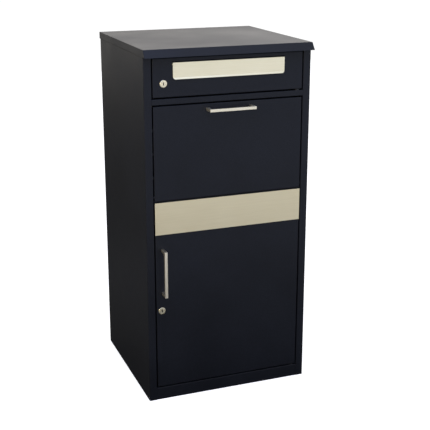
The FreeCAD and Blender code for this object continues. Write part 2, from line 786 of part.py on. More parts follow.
def door_stiffener():
    """Hat section welded up the middle of the collection door."""
    bottom = door_bottom + sheet + front_return + stiffener_bottom_gap
    top = strip_middle - stiffener_top_gap
    rear = front_rear - 2 * sheet
    half = stiffener_width / 2
    web_inner = half - sheet
    foot = block(web_inner, web_inner + stiffener_foot, skin_back, skin_back + sheet, bottom, top)
    web = block(web_inner, half, skin_back, rear, bottom, top)
    crown = block(-half, half, rear - sheet, rear, bottom, top)
    return join([foot, web, crown, mirrored(web), mirrored(foot)])


def trim_strip():
    """Brushed strip across the top of the collection door, on four weld studs."""
    plate = block(-door_half, door_half, front - strip_thickness, front, door_top - strip_height, door_top)
    studs = [rod_along_y(x, strip_middle, strip_stud_radius, front, front + strip_stud_length)
             for x in strip_stud_xs]
    return join([plate] + studs)


def trim_nuts():
    nuts = []
    for x in strip_stud_xs:
        nut = hex_prism(vec(x, skin_back, strip_middle), vec(0, 1, 0), strip_nut_half_flats, strip_nut_height)
        nuts.append(nut.cut(rod_along_y(x, strip_middle, strip_stud_radius, skin_back,
                                        skin_back + strip_nut_height)))
    return nuts


# ---------------------------------------------------------------- handles and locks

def bar_handle(ends):
    """Square bar with mitred corners, its two feet on the front at the (x, z) places in ends."""
    (x0, z0), (x1, z1) = ends
    half = handle_width / 2
    inner = front - handle_projection + handle_width
    across = half if near(z0, z1) else -half
    frame = block(x0 - half, x1 + half, front - handle_projection, front, z0 - half, z1 + half)
    handle = frame.cut(block(x0 + across, x1 - across, inner, front, z0 - across, z1 + across))
    handle = soften(handle, handle_edge, lambda c: c.y < front - handle_edge)
    for x, z in ends:
        handle = handle.cut(rod_along_y(x, z, handle_screw_radius, front - handle_bore_depth, front))
    return handle


def handle_screws(ends):
    screws = []
    for x, z in ends:
        shank = rod_along_y(x, z, handle_screw_radius, front - handle_screw_depth, skin_back)
        head = rod_along_y(x, z, handle_screw_head_radius, skin_back, skin_back + handle_screw_head_height)
        screws.append(join([shank, head]))
    return screws


def lock_housing(x, z):
    barrel_end = front_rear - weld_gap
    head = rod_along_y(x, z, lock_head_radius, front - lock_head_height, front)
    head = soften(head, lock_head_round, lambda c: near(c.y, front - lock_head_height))
    barrel = rod_along_y(x, z, lock_barrel_radius, front, barrel_end)
    bore = rod_along_y(x, z, lock_plug_radius + running_clearance, front - lock_head_height, barrel_end)
    return join([head, barrel]).cut(bore)


def lock_nut(x, z):
    nut = hex_prism(vec(x, skin_back, z), vec(0, 1, 0), lock_nut_radius * math.cos(math.radians(30)),
                    lock_nut_thickness)
    return nut.cut(rod_along_y(x, z, lock_barrel_radius, skin_back, skin_back + lock_nut_thickness))


def lock_plug(x, z):
    """Turning core with the key slot in front and a square spigot behind."""
    face = front - lock_head_height - lock_plug_proud
    core = rod_along_y(x, z, lock_plug_radius, face, cam_front)
    half = lock_spigot / 2
    spigot = block(x - half, x + half, cam_front, cam_back, z - half, z + half)
    slot = block(x - key_slot_width / 2, x + key_slot_width / 2, face, face + key_slot_depth,
                 z - key_slot_height / 2, z + key_slot_height / 2)
    bore = rod_along_y(x, z, cam_screw_radius, cam_front - cam_bore_depth, cam_back)
    return join([core, spigot]).cut(slot).cut(bore)


def lock_cam(x, z):
    """Flat cam that points up when the lock is open."""
    reach = x + opening_half + cam_engagement
    half = cam_width / 2
    hub = rod_along_y(x, z, half, cam_front, cam_back)
    arm = block(x - half, x + half, cam_front, cam_back, z, z + reach)
    cam = soften(join([hub, arm]), cam_corner, lambda c: near(abs(c.x - x), half) and near(c.z, z + reach))
    hole = lock_spigot / 2
    return cam.cut(block(x - hole, x + hole, cam_front, cam_back, z - hole, z + hole))


def cam_screw(x, z):
    shank = rod_along_y(x, z, cam_screw_radius, cam_front - cam_screw_depth, cam_back)
    head = rod_along_y(x, z, cam_screw_head_radius, cam_back, cam_back + cam_screw_head_height)
    return join([shank, head])


# ---------------------------------------------------------------- the sub-parts

save("side_panel_left", side_panel())
save("side_panel_right", mirrored(side_panel()))
save("back_panel", back_panel())
save("base_pan", base_pan())
save("mid_rail", mid_rail())
save("cross_rail", cross_rail())
save("top_rail", top_rail())
save("lid", lid())
save("lid_nuts", *lid_nuts())
save("letter_shelf", letter_shelf())
save("anti_fishing_baffle", anti_fishing_baffle())
save("baffle_rivets", *baffle_rivets())
save("back_panel_rivets", *back_panel_rivets())
save("hopper_stops", *hopper_stops())
save("hopper_stop_buffers", *hopper_stop_buffers())
save("door_bumpers", *door_bumpers())
save("parcel_flap_pins", *flap_pins())
save("collection_door_pins", *door_pins(bottom_rail_height, door_bottom, tongue_bottom, door_top, False))
save("collection_door_washer", door_washer(bottom_rail_height, door_bottom))
save("letter_door_pins", *door_pins(cross_top, letter_bottom, body_height - top_rail_height, letter_top, True))
save("letter_door_washer", door_washer(cross_top, letter_bottom))

save("letter_door", letter_door())
save("letter_flap_rod", letter_flap_rod())
save("letter_flap", letter_flap())

parcel_handle_ends = [(-handle_centres / 2, parcel_handle_z), (handle_centres / 2, parcel_handle_z)]
save("parcel_flap", parcel_flap())
save("hopper_side_right", hopper_side())
save("hopper_side_left", mirrored(hopper_side()))
save("hopper_tray", hopper_tray())
save("hopper_rivets", *hopper_rivets())
save("hopper_stop_studs", *hopper_stop_studs())
save("parcel_flap_washers", *flap_washers())
save("parcel_handle", bar_handle(parcel_handle_ends))
save("parcel_handle_screws", *handle_screws(parcel_handle_ends))

door_handle_ends = [
    (door_handle_x, door_handle_z - handle_centres / 2),
    (door_handle_x, door_handle_z + handle_centres / 2),
]
save("collection_door", collection_door())
save("door_stiffener", door_stiffener())
save("trim_strip", trim_strip())
save("trim_nuts", *trim_nuts())
save("door_handle", bar_handle(door_handle_ends))
save("door_handle_screws", *handle_screws(door_handle_ends))

for name, lock_x, lock_z in (
    ("letter_lock", letter_lock_x, letter_lock_z),
    ("door_lock", door_lock_x, door_lock_z),
):
    save(name + "_housing", lock_housing(lock_x, lock_z))
    save(name + "_nut", lock_nut(lock_x, lock_z))
    save(name + "_plug", lock_plug(lock_x, lock_z))
    save(name + "_cam", lock_cam(lock_x, lock_z))
    save(name + "_cam_screw", cam_screw(lock_x, lock_z))
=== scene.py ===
"""A parcel and letter drop box in folded and spot-welded sheet steel, powder coated,
with a lift-up letter flap, a tilting parcel flap over a hopper and a lower door
with a steel trim strip. One section for each piece or group of like pieces."""
import json
import math

import bmesh
import bpy
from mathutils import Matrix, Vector

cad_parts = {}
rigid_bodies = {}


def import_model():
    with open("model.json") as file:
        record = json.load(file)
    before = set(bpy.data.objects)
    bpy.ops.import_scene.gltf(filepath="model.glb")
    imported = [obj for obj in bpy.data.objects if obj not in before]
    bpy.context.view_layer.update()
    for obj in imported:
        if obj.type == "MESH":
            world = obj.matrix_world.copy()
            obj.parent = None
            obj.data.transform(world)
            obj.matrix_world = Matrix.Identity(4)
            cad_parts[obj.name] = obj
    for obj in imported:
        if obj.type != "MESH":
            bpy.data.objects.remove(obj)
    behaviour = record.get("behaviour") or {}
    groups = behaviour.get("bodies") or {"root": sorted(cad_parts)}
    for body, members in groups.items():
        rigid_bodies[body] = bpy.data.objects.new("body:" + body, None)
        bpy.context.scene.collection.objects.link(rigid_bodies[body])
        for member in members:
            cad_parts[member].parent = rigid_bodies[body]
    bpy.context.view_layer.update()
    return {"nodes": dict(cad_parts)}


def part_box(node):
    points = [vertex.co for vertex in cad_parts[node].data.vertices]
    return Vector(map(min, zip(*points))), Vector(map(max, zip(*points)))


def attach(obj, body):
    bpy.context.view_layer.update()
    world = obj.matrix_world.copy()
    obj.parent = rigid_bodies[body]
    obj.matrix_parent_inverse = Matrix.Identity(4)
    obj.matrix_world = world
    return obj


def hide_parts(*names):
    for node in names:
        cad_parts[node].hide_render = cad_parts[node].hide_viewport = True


for leftover in list(bpy.data.objects):
    bpy.data.objects.remove(leftover)
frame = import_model()
nodes = frame["nodes"]
scene = bpy.context.scene

# ---------------------------------------------------------------- studio
# White paper under and behind the box. Three soft boxes stand overhead, at the
# left and behind, and the pale room lights the faces from all round.
looking_down = 16.28  # degrees below level
looking_right = 20.84  # degrees from straight at the front
view = bpy.data.cameras.new("view")
view.sensor_width = 36.0
view.lens = 79.38
view.shift_y = -0.04
viewpoint = bpy.data.objects.new("viewpoint", view)
viewpoint.location = (-0.9526, -2.6157, 1.3434)
viewpoint.rotation_euler = (math.radians(90 - looking_down), 0, math.radians(-looking_right))
scene.collection.objects.link(viewpoint)
scene.camera = viewpoint
scene.view_settings.view_transform = "Standard"


def linear(code):
    """the linear colour, with alpha, of an sRGB hex value"""
    parts = [int(code[i:i + 2], 16) / 255 for i in (1, 3, 5)]
    return [p / 12.92 if p <= 0.04045 else ((p + 0.055) / 1.055) ** 2.4 for p in parts] + [1.0]


def add(tree, kind, settings=None, values=None, links=None):
    """a node with its settings, the values of its sockets, and the outputs that feed them"""
    node = tree.nodes.new(kind)
    for name, value in (settings or {}).items():
        setattr(node, name, value)
    for name, value in (values or {}).items():
        node.inputs[name].default_value = value
    for name, source in (links or {}).items():
        tree.links.new(source, node.inputs[name])
    return node


brighter_side = (0.80, 0.10, 0.0)  # the room's light grows towards its right wall
room_middle = 0.88
room_least = 0.12
cooler_side = (0.6, -0.8, 0.0)
paper_glow = 1.05
room = bpy.data.worlds.new("white_room")
room.use_nodes = True
scene.world = room
air = room.node_tree
air.nodes.clear()
around = add(air, "ShaderNodeTexCoord")
towards_bright_side = add(air, "ShaderNodeVectorMath", {"operation": "DOT_PRODUCT"},
                          {1: brighter_side}, {0: around.outputs["Generated"]})
raised = add(air, "ShaderNodeMath", {"operation": "ADD"}, {1: room_middle},
             {0: towards_bright_side.outputs["Value"]})
brightness = add(air, "ShaderNodeMath", {"operation": "MAXIMUM"}, {1: room_least},
                 {0: raised.outputs["Value"]})
towards_cool_side = add(air, "ShaderNodeVectorMath", {"operation": "DOT_PRODUCT"},
                        {1: cooler_side}, {0: around.outputs["Generated"]})
coolness = add(air, "ShaderNodeMapRange", None, {"From Min": -1.0, "From Max": 1.0},
               {"Value": towards_cool_side.outputs["Value"]})
daylight = add(air, "ShaderNodeMix", {"data_type": "RGBA"},
               {"A": linear("#FFFAF0"), "B": linear("#DFE8FF")}, {"Factor": coolness.outputs[0]})
room_light = add(air, "ShaderNodeBackground", None, None,
                 {"Color": daylight.outputs[2], "Strength": brightness.outputs["Value"]})
paper = add(air, "ShaderNodeBackground", None, {"Color": linear("#FFFFFF"), "Strength": paper_glow})
seen = add(air, "ShaderNodeLightPath")
backdrop = add(air, "ShaderNodeMixShader", None, None,
               {0: seen.outputs["Is Camera Ray"], 1: room_light.outputs[0], 2: paper.outputs[0]})
add(air, "ShaderNodeOutputWorld", None, None, {"Surface": backdrop.outputs[0]})

middle_of_box = Vector((0, 0, 0.5))
for name, place, width, power, colour in (
    ("soft_box_overhead", (-0.6, -0.7, 2.2), 1.4, 16.0, "#A8C0FF"),
    ("soft_box_left", (-2.6, -1.2, 1.25), 1.3, 30.0, "#FFF0D6"),
    ("soft_box_behind", (1.3, 3.0, 2.0), 1.8, 5.0, "#FFF6EA"),
):
    lamp = bpy.data.lights.new(name, "AREA")
    lamp.size = width
    lamp.energy = power
    lamp.color = linear(colour)[:3]
    soft_box = bpy.data.objects.new(name, lamp)
    soft_box.location = place
    aim = middle_of_box - Vector(place)
    soft_box.visible_camera = False
    soft_box.rotation_euler = aim.to_track_quat("-Z", "Y").to_euler()
    scene.collection.objects.link(soft_box)

floor_half = 6.0
floor_mesh = bpy.data.meshes.new("floor")
floor_corners = [(-floor_half, -floor_half, 0), (floor_half, -floor_half, 0),
                 (floor_half, floor_half, 0), (-floor_half, floor_half, 0)]
floor_mesh.from_pydata(floor_corners, [], [(0, 1, 2, 3)])
floor = bpy.data.objects.new("floor", floor_mesh)
scene.collection.objects.link(floor)
floor_glow = 0.6
pale_from = 0.3  # painted shade: the paper that the box itself sees is darkened close by and behind it, standing in for the box's shadow
pale_beyond = 2.6
pale_side = (0.55, -0.83, 0.0)
painted_shade_full_at = -1.4  # metres towards the pale side, from full painted shade to none
painted_shade_none_at = 0.4
# Rays from the box see this paper with painted shade, darker close to the box and behind it. The
# camera sees it evenly white.
floor_paper = bpy.data.materials.new("white_paper")
floor_paper.use_nodes = True
tree = floor_paper.node_tree
tree.nodes.clear()
seen = add(tree, "ShaderNodeLightPath")
matt = add(tree, "ShaderNodeBsdfDiffuse", None, {"Color": linear("#F2F2F2")})
lift = add(tree, "ShaderNodeEmission", None, {"Color": linear("#FFFDF8"), "Strength": floor_glow})
bright = add(tree, "ShaderNodeAddShader", None, None, {0: matt.outputs[0], 1: lift.outputs[0]})
where = add(tree, "ShaderNodeTexCoord").outputs["Object"]
reach = add(tree, "ShaderNodeVectorMath", {"operation": "LENGTH"}, None, {0: where})
painted_shade_lift_by_reach = add(tree, "ShaderNodeMapRange", {"interpolation_type": "SMOOTHSTEP"},
           {"From Min": pale_from, "From Max": pale_beyond}, {"Value": reach.outputs["Value"]})
forward = add(tree, "ShaderNodeVectorMath", {"operation": "DOT_PRODUCT"},
              {1: pale_side}, {0: where})
painted_shade_lift_by_side = add(tree, "ShaderNodeMapRange", None, {"From Min": painted_shade_full_at, "From Max": painted_shade_none_at},
             {"Value": forward.outputs["Value"]})
both = add(tree, "ShaderNodeMath", {"operation": "MULTIPLY"}, None,
           {0: painted_shade_lift_by_reach.outputs[0], 1: painted_shade_lift_by_side.outputs[0]})
# painted shade: the paper's colour is darkened near the box and behind it
painted_floor_shade = add(tree, "ShaderNodeMix", {"data_type": "RGBA"},
             {"A": linear("#504F4A"), "B": linear("#F4F4F4")}, {"Factor": both.outputs[0]})
paper_in_painted_shade = add(tree, "ShaderNodeBsdfDiffuse", None, None, {"Color": painted_floor_shade.outputs[2]})
sheet = add(tree, "ShaderNodeMixShader", None, None,
            {0: seen.outputs["Is Camera Ray"], 1: paper_in_painted_shade.outputs[0], 2: bright.outputs[0]})
add(tree, "ShaderNodeOutputMaterial", None, None, {"Surface": sheet.outputs[0]})
floor_mesh.materials.append(floor_paper)

# ---------------------------------------------------------------- cabinet
# Side panels, back, base pan and rails: 1.5 mm mild steel, laser cut, folded on a
# press brake and spot welded. Polyester powder is sprayed on and baked, which
# leaves a satin skin with a fine orange peel and softly rounded edges.
coat_colour = "#17191F"
# lighter colour for the edges: partly rubbed wear, partly a painted highlight where light catches
# the rounded folds
coat_edge_wear_and_highlight = "#2C2F37"
peel_width = 0.0028  # real peel is about 1 mm wide, drawn coarser so that it shows
peel_depth = 0.00008
patch_width = 0.22  # faint unevenness from the spray gun's passes
edge_wear_and_highlight_reach = 0.0012
edge_wear_and_highlight_patches = (0.4, 0.62)  # noise values between which the lighter edges set in, partly wear and partly painted highlight
most_edge_wear_and_highlight = 0.8
patch_tones = (0.82, 1.18)
speckle_tones = (0.85, 1.15)
coat_roughness = (0.40, 0.48)
coat_specular = 0.21
fold_radius = 0.0006
noise_low, noise_high = 0.3, 0.7  # nearly all of a noise's values lie between these


def powder_coat(name, colour, edge_wear_and_highlight_colour):
    """baked polyester powder: dark satin with a fine peel, lighter along its edges, partly rubbed
    wear and partly a painted highlight
    """
    skin = bpy.data.materials.new(name)
    skin.use_nodes = True
    tree = skin.node_tree
    tree.nodes.clear()
    where = add(tree, "ShaderNodeTexCoord").outputs["Object"]
    patches = add(tree, "ShaderNodeTexNoise", None, {"Scale": 1 / patch_width, "Detail": 3.0},
                  {"Vector": where})
    peel = add(tree, "ShaderNodeTexNoise", None,
               {"Scale": 1 / peel_width, "Detail": 2.0, "Roughness": 0.6}, {"Vector": where})
    rounded = add(tree, "ShaderNodeBevel", {"samples": 4}, {"Radius": edge_wear_and_highlight_reach})
    flat = add(tree, "ShaderNodeNewGeometry")
    turned = add(tree, "ShaderNodeVectorMath", {"operation": "DOT_PRODUCT"}, None,
                 {0: rounded.outputs[0], 1: flat.outputs["Normal"]})
    edge = add(tree, "ShaderNodeMapRange", None,
               {"From Min": 0.995, "From Max": 0.8},
               {"Value": turned.outputs["Value"]})
    chance = add(tree, "ShaderNodeMapRange", None,
                 {"From Min": edge_wear_and_highlight_patches[0], "From Max": edge_wear_and_highlight_patches[1], "To Max": most_edge_wear_and_highlight},
                 {"Value": patches.outputs[0]})
    edge_wear_and_highlight_mask = add(tree, "ShaderNodeMath", {"operation": "MULTIPLY"}, None,
               {0: edge.outputs[0], 1: chance.outputs[0]})
    tone = add(tree, "ShaderNodeMapRange", None,
               {"From Min": noise_low, "From Max": noise_high,
                "To Min": patch_tones[0], "To Max": patch_tones[1]},
               {"Value": patches.outputs[0]})
    speckle = add(tree, "ShaderNodeMapRange", None,
                  {"From Min": 0.35, "From Max": 0.65,
                   "To Min": speckle_tones[0], "To Max": speckle_tones[1]},
                  {"Value": peel.outputs[0]})
    shade = add(tree, "ShaderNodeMath", {"operation": "MULTIPLY"}, None,
                {0: tone.outputs[0], 1: speckle.outputs[0]})
    coloured = add(tree, "ShaderNodeVectorMath", {"operation": "SCALE"},
                   {0: linear(colour)[:3]}, {"Scale": shade.outputs[0]})
    # edges lightened, partly as wear and partly as a painted highlight
    coat_with_edge_wear_and_highlight = add(tree, "ShaderNodeMix", {"data_type": "RGBA"}, {"B": linear(edge_wear_and_highlight_colour)},
               {"Factor": edge_wear_and_highlight_mask.outputs[0], "A": coloured.outputs[0]})
    gloss = add(tree, "ShaderNodeMapRange", None,
                {"From Min": noise_low, "From Max": noise_high,
                 "To Min": coat_roughness[0], "To Max": coat_roughness[1]},
                {"Value": patches.outputs[0]})
    bumps = add(tree, "ShaderNodeBump", None, {"Strength": 0.6, "Distance": peel_depth},
                {"Height": peel.outputs[0]})
    shader = add(tree, "ShaderNodeBsdfPrincipled", None, {"Specular IOR Level": coat_specular},
                 {"Base Color": coat_with_edge_wear_and_highlight.outputs[2], "Roughness": gloss.outputs[0],
                  "Normal": bumps.outputs[0]})
    add(tree, "ShaderNodeOutputMaterial", None, None, {"Surface": shader.outputs[0]})
    return skin


same_point = 0.00001
same_plane = math.radians(0.5)
sharp_edge = math.radians(40)


def finish_as(material, round_edges, *names):
    """gives CAD nodes this finish, and breaks their edges by round_edges metres"""
    for name in names:
        piece = nodes[name]
        for place in piece.material_slots:
            place.material = material
        if round_edges:
            weld = piece.modifiers.new("one_skin", "WELD")
            weld.merge_threshold = same_point
            flat = piece.modifiers.new("whole_faces", "DECIMATE")
            flat.decimate_type = "DISSOLVE"
            flat.angle_limit = same_plane
            soft = piece.modifiers.new("broken_edges", "BEVEL")
            soft.width = round_edges
            soft.segments = 2
            soft.limit_method = "ANGLE"
            soft.angle_limit = sharp_edge
            even = piece.modifiers.new("even_shading", "WEIGHTED_NORMAL")
            even.weight = 100
            even.keep_sharp = True


cabinet_coat = powder_coat("powder_coated_steel", coat_colour, coat_edge_wear_and_highlight)
finish_as(cabinet_coat, fold_radius, "side_panel_left", "side_panel_right", "back_panel",
          "base_pan", "mid_rail", "cross_rail", "top_rail", "letter_shelf", "anti_fishing_baffle")

# ---------------------------------------------------------------- blind rivets
# Steel pop rivets, zinc plated: ten hold the back panel, three the baffle, and
# twelve the hopper. Each has a domed head with the pit its mandrel broke off in.
# Rings are (radius, height) in mm: the tail's from its foot, the head's down from its top.
rivet_tail = ((1.2, 0.0), (2.9, 0.1), (3.4, 0.5), (3.4, 1.1), (2.4, 1.5))
rivet_head = ((2.4, 1.2), (4.5, 1.2), (4.5, 0.95), (3.9, 0.4),
              (2.7, 0.08), (1.6, 0.0), (1.2, 0.05), (1.0, 0.7))
cloud_width = 0.006
plating_depth = 0.00004


def plated(name, colour, darker, roughness):
    """electroplated metal: bright and even, faintly clouded"""
    metal = bpy.data.materials.new(name)
    metal.use_nodes = True
    tree = metal.node_tree
    tree.nodes.clear()
    where = add(tree, "ShaderNodeTexCoord").outputs["Object"]
    cloud = add(tree, "ShaderNodeTexNoise", None, {"Scale": 1 / cloud_width, "Detail": 3.0},
                {"Vector": where})
    tint = add(tree, "ShaderNodeMix", {"data_type": "RGBA"},
               {"A": linear(darker), "B": linear(colour)}, {"Factor": cloud.outputs[0]})
    gloss = add(tree, "ShaderNodeMapRange", None,
                {"From Min": noise_low, "From Max": noise_high,
                 "To Min": roughness - 0.04, "To Max": roughness + 0.06},
                {"Value": cloud.outputs[0]})
    bumps = add(tree, "ShaderNodeBump", None, {"Strength": 0.3, "Distance": plating_depth},
                {"Height": cloud.outputs[0]})
    shader = add(tree, "ShaderNodeBsdfPrincipled", None, {"Metallic": 1.0},
                 {"Base Color": tint.outputs[2], "Roughness": gloss.outputs[0],
                  "Normal": bumps.outputs[0]})
    add(tree, "ShaderNodeOutputMaterial", None, None, {"Surface": shader.outputs[0]})
    return metal


def separate_solids(node):
    """(lowest, highest) corner of each separate solid of a node of like pieces"""
    shape = bmesh.new()
    shape.from_mesh(nodes[node].data)
    bmesh.ops.remove_doubles(shape, verts=shape.verts, dist=same_point)
    left = set(shape.verts)
    corners = []
    while left:
        reached = {left.pop()}
        group = set(reached)
        while reached:
            reached = {edge.other_vert(v) for v in reached for edge in v.link_edges} & left
            left -= reached
            group |= reached
        low = Vector([min(v.co[i] for v in group) for i in range(3)])
        high = Vector([max(v.co[i] for v in group) for i in range(3)])
        corners.append((low, high))
    shape.free()
    return sorted(corners, key=lambda pair: tuple(round(value, 5) for value in pair[0]))


around_ring = 36
hexagon_side = math.radians(60)


def turn(shape, foot, axis, rings, bored=False):
    """adds a turned solid from rings of (radius, height) in mm, from foot along axis; a
    third item makes a ring hexagonal, its radius then being half the width across flats"""
    axis = Vector(axis)
    across = Vector((0, 0, 1)) if abs(axis.z) < 0.5 else Vector((1, 0, 0))
    other = axis.cross(across)
    loops = []
    for ring in rings:
        loop = []
        for i in range(around_ring):
            angle = math.radians(360 / around_ring * i)
            reach = ring[0] / 1000
            if len(ring) == 3:
                reach /= math.cos((angle + hexagon_side / 2) % hexagon_side - hexagon_side / 2)
            spot = across * (reach * math.cos(angle)) + other * (reach * math.sin(angle))
            loop.append(shape.verts.new(foot + axis * (ring[1] / 1000) + spot))
        loops.append(loop)
    for low, high in zip(loops, loops[1:] + loops[:1] if bored else loops[1:]):
        for i in range(around_ring):
            shape.faces.new((low[i - 1], low[i], high[i], high[i - 1]))
    if not bored:
        shape.faces.new(loops[0])
        shape.faces.new(loops[-1])


smooth_below = math.radians(35)


def make_piece(name, shape, material):
    """turns finished mesh code into an object, smooth but for its sharp edges"""
    bmesh.ops.recalc_face_normals(shape, faces=shape.faces)
    mesh = bpy.data.meshes.new(name)
    shape.to_mesh(mesh)
    shape.free()
    mesh.materials.append(material)
    mesh.polygons.foreach_set("use_smooth", [True] * len(mesh.polygons))
    mesh.set_sharp_from_angle(angle=smooth_below)
    piece = bpy.data.objects.new(name, mesh)
    scene.collection.objects.link(piece)
    return piece


zinc = plated("zinc_plate", "#C6CACB", "#A9AEB0", 0.34)


def pop_rivets(name, node, head_side):
    """one object of blind rivets in place of a node's; head_side gives each one's direction"""
    shape = bmesh.new()
    for low, high in separate_solids(node):
        axis = Vector(head_side(low))
        middle = (low + high) / 2
        length = abs((high - low).dot(axis))
        head = [(radius, length * 1000 - below) for radius, below in rivet_head]
        turn(shape, middle - axis * length / 2, axis, list(rivet_tail) + head)
    return make_piece(name, shape, zinc)


back_rivets = pop_rivets("pop_rivets_back", "back_panel_rivets", lambda low: (0, 1, 0))
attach(back_rivets, "cabinet")
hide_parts("back_panel_rivets")
shelf_rivets = pop_rivets("pop_rivets_baffle", "baffle_rivets", lambda low: (0, 0, 1))
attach(shelf_rivets, "cabinet")
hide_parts("baffle_rivets")
flap_fold_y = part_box("parcel_flap")[1].y
hopper_rivets = pop_rivets("pop_rivets_hopper", "hopper_rivets", lambda low: (
    math.copysign(1, low.x) * (1 if low.y < flap_fold_y else -1), 0, 0))
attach(hopper_rivets, "parcel_hopper")
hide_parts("hopper_rivets")

# ---------------------------------------------------------------- lid and its nuts
# One folded steel pan that overhangs the cabinet, turned down all round, with a
# lip at the front that throws rain clear. Six studs welded under it take flange
# nuts from inside.
flange_nut = (  # rings of (radius, height) in mm, from the free end up to the flange
    (2.5, 0.3), (2.9, 0.0), (3.8, 0.0), (4.0, 0.5, "hex"), (4.0, 3.8, "hex"),
    (4.9, 4.0), (5.5, 4.3), (5.5, 5.0), (2.5, 5.0),
)
finish_as(cabinet_coat, fold_radius, "lid")
shape = bmesh.new()
for low, high in separate_solids("lid_nuts"):
    foot = Vector(((low.x + high.x) / 2, (low.y + high.y) / 2, low.z))
    turn(shape, foot, (0, 0, 1), flange_nut, bored=True)
lid_nuts = make_piece("flange_nuts", shape, zinc)
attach(lid_nuts, "cabinet")
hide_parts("lid_nuts")

# ---------------------------------------------------------------- door bumpers and hopper stops
# Domed rubber buttons on the stop lips, zinc-plated angle brackets on the side
# walls, and a rubber block on each for the hopper to land on.
button_dome = ((4.5, 0.0), (4.5, 0.5), (4.1, 1.1), (3.0, 1.6), (1.5, 1.8))
block_edge = 0.0008
bracket_edge = 0.0004
mould_grain_depth = 0.0001


def moulded(name, colour, darker, roughness, grain, specular):
    """a moulded polymer: even colour with a fine grain from the tool"""
    plastic = bpy.data.materials.new(name)
    plastic.use_nodes = True
    tree = plastic.node_tree
    tree.nodes.clear()
    where = add(tree, "ShaderNodeTexCoord").outputs["Object"]
    fine = add(tree, "ShaderNodeTexNoise", None, {"Scale": 1 / grain, "Detail": 3.0},
               {"Vector": where})
    tint = add(tree, "ShaderNodeMix", {"data_type": "RGBA"},
               {"A": linear(darker), "B": linear(colour)}, {"Factor": fine.outputs[0]})
    gloss = add(tree, "ShaderNodeMapRange", None,
                {"From Min": noise_low, "From Max": noise_high,
                 "To Min": roughness - 0.05, "To Max": roughness + 0.05},
                {"Value": fine.outputs[0]})
    bumps = add(tree, "ShaderNodeBump", None, {"Strength": 0.5, "Distance": mould_grain_depth},
                {"Height": fine.outputs[0]})
    shader = add(tree, "ShaderNodeBsdfPrincipled", None, {"Specular IOR Level": specular},
                 {"Base Color": tint.outputs[2], "Roughness": gloss.outputs[0],
                  "Normal": bumps.outputs[0]})
    add(tree, "ShaderNodeOutputMaterial", None, None, {"Surface": shader.outputs[0]})
    return plastic


rubber = moulded("moulded_rubber", "#202020", "#161616", 0.75, 0.0012, 0.3)
shape = bmesh.new()
for low, high in separate_solids("door_bumpers"):
    foot = Vector(((low.x + high.x) / 2, high.y, (low.z + high.z) / 2))
    turn(shape, foot, (0, -1, 0), button_dome)
bumpers = make_piece("rubber_buttons", shape, rubber)
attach(bumpers, "cabinet")
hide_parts("door_bumpers")
finish_as(rubber, block_edge, "hopper_stop_buffers")
finish_as(zinc, bracket_edge, "hopper_stops", "hopper_stop_studs")

# ---------------------------------------------------------------- hinge pins and washers
# Blackened steel pins that the doors and the parcel flap turn on, with black
# nylon washers under the doors and beside the flap.
pin_edge = 0.0003
washer_edge = 0.0002
pin_steel = plated("blackened_steel", "#2A2A2C", "#1C1C1E", 0.4)
finish_as(pin_steel, pin_edge, "parcel_flap_pins", "collection_door_pins", "letter_door_pins")
nylon = moulded("black_nylon", "#1E1E20", "#161617", 0.5, 0.002, 0.4)
finish_as(nylon, washer_edge, "collection_door_washer", "letter_door_washer",
          "parcel_flap_washers")

# ---------------------------------------------------------------- letter door and parcel flap
# Folded steel trays that sit flush with the front, in the cabinet's coat. The
# parcel flap carries the hopper: two sector plates and a sloping tray.
finish_as(cabinet_coat, fold_radius, "letter_door", "parcel_flap", "hopper_tray",
          "hopper_side_left", "hopper_side_right")

# ---------------------------------------------------------------- collection door
# A folded tray like the letter door, stiffened by a hat section spot welded up its
# middle. Both went through the powder booth together and have the same coat.
finish_as(cabinet_coat, fold_radius, "collection_door", "door_stiffener")

# ---------------------------------------------------------------- letter flap and trim strip
# Stainless sheet brushed along its length, which draws highlights into lines that
# run with it. The flap hangs on a plated rod; four weld studs with small nuts
# hold the strip.
scratch_length = 0.09
scratch_width = 0.0009  # real brushing is about 0.1 mm wide, drawn coarser so that it shows
scratch_depth = 0.00002
belt_patch = 0.12
patch_share = 0.35
sheared_edge = 0.0002
rod_edge = 0.0003
small_nut = (
    (1.5, 0.2), (1.7, 0.0), (2.6, 0.0), (2.75, 0.35, "hex"), (2.75, 2.4, "hex"), (1.5, 2.4),
)


